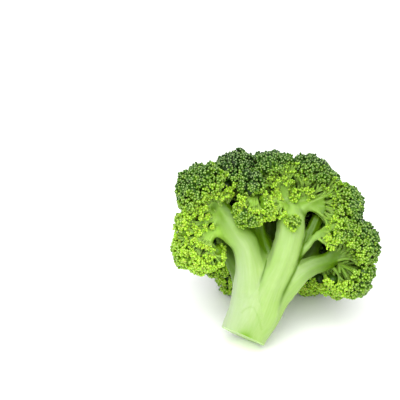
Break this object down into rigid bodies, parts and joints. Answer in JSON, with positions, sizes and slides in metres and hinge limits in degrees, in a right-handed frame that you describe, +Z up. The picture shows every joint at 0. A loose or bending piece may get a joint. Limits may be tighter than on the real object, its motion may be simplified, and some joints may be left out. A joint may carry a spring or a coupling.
{
  "type": "broccoli head",
  "caption": "Cut head of broccoli lying on its side: a thick pale stalk forks into branches that carry domed dark green florets covered in small buds.",
  "frame": {"origin": "middle of the underside of the whole head's box, on the surface that it lies on", "axes": "+X along the widest side of the crown, +Y the way that the head leans back, +Z up from the surface; the cut end of the stalk is towards -Y"},
  "size_m": [0.1165, 0.1014, 0.1001],
  "materials": {
    "stalk": "satin pale green skin, smooth, with faint ribs; moist at the cut",
    "buds": "matte dark green buds with a dull waxy bloom, yellower on the undersides"
  },
  "bodies": {
    "root": {"stalk": "stalk", "floret_left_low": "buds", "floret_left_high": "buds", "floret_left_middle": "buds", "floret_top_left": "buds", "floret_top_front": "buds", "floret_front_middle": "buds", "floret_front_inner": "buds", "floret_front_sprig": "buds", "floret_top_middle": "buds", "floret_top_right": "buds", "floret_right_high": "buds", "floret_right_middle": "buds", "floret_right_low": "buds", "floret_right_inner": "buds", "floret_back_left_side": "buds", "floret_back_left_low": "buds", "floret_back_low": "buds", "floret_back_right_low": "buds", "floret_back_right_side": "buds", "floret_back_left": "buds", "floret_back_right": "buds", "floret_back_middle": "buds", "floret_back_high_left": "buds", "floret_back_high_right": "buds", "floret_back_top_left": "buds", "floret_back_top": "buds", "floret_back_top_right": "buds"}
  },
  "joints": []
}
